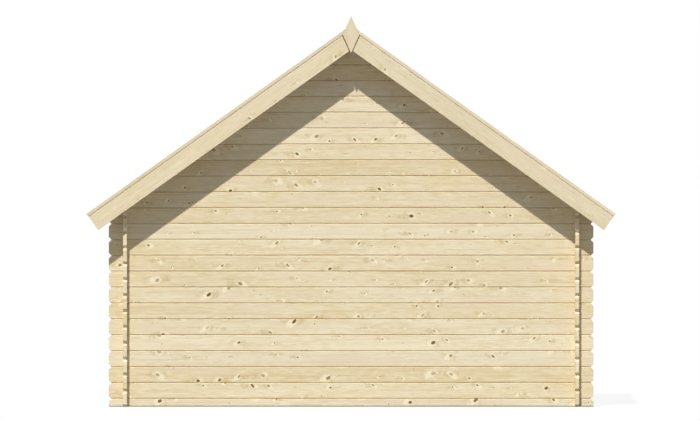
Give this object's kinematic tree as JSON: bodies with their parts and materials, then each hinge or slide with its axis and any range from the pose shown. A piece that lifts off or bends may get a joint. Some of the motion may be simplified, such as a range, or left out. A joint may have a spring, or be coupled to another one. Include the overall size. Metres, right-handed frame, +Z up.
{
  "type": "summerhouse",
  "caption": "Gable-roofed timber summerhouse of interlocking logs with crossed corners, a boarded roof with bargeboards and diamond finials, and glazed double doors.",
  "frame": {"origin": "on the ground under the middle of the plan", "axes": "+Z up, +X across the gables, -Y out of the blank rear gable that is pictured, +Y out of the doors"},
  "size_m": [4.4862, 4.4186, 3.3183],
  "materials": {
    "log_spruce": "bare planed spruce",
    "purlin_spruce": "bare planed spruce",
    "floor_spruce": "bare planed spruce",
    "door_spruce": "bare planed spruce",
    "roof_boards": "bare planed spruce",
    "trim_spruce": "bare planed spruce",
    "pane_glass": "clear",
    "door_metal": "satin"
  },
  "bodies": {
    "root": {"door_handle": "door_metal", "door_head": "door_spruce", "door_hinges": "door_metal", "door_meeting_bead": "door_spruce", "door_sill": "door_spruce", "floor_bearers": "floor_spruce", "floor_boards": "floor_spruce", "front_finial": "trim_spruce", "front_gable": "log_spruce", "front_left_bargeboard": "trim_spruce", "front_left_verge_lath": "trim_spruce", "front_right_bargeboard": "trim_spruce", "front_right_verge_lath": "trim_spruce", "front_sole_log": "log_spruce", "front_wall_left": "log_spruce", "front_wall_right": "log_spruce", "left_door_glass": "pane_glass", "left_door_jamb": "door_spruce", "left_door_leaf": "door_spruce", "left_door_panel": "door_spruce", "left_eaves_batten": "purlin_spruce", "left_eaves_fascia": "trim_spruce", "left_purlin": "purlin_spruce", "left_roof_deck": "roof_boards", "left_wall": "log_spruce", "left_wall_plate": "log_spruce", "rear_finial": "trim_spruce", "rear_gable": "log_spruce", "rear_left_bargeboard": "trim_spruce", "rear_left_verge_lath": "trim_spruce", "rear_right_bargeboard": "trim_spruce", "rear_right_verge_lath": "trim_spruce", "rear_wall": "log_spruce", "ridge_purlin": "purlin_spruce", "right_door_glass": "pane_glass", "right_door_jamb": "door_spruce", "right_door_leaf": "door_spruce", "right_door_panel": "door_spruce", "right_eaves_batten": "purlin_spruce", "right_eaves_fascia": "trim_spruce", "right_purlin": "purlin_spruce", "right_roof_deck": "roof_boards", "right_wall": "log_spruce", "right_wall_plate": "log_spruce"}
  },
  "joints": []
}
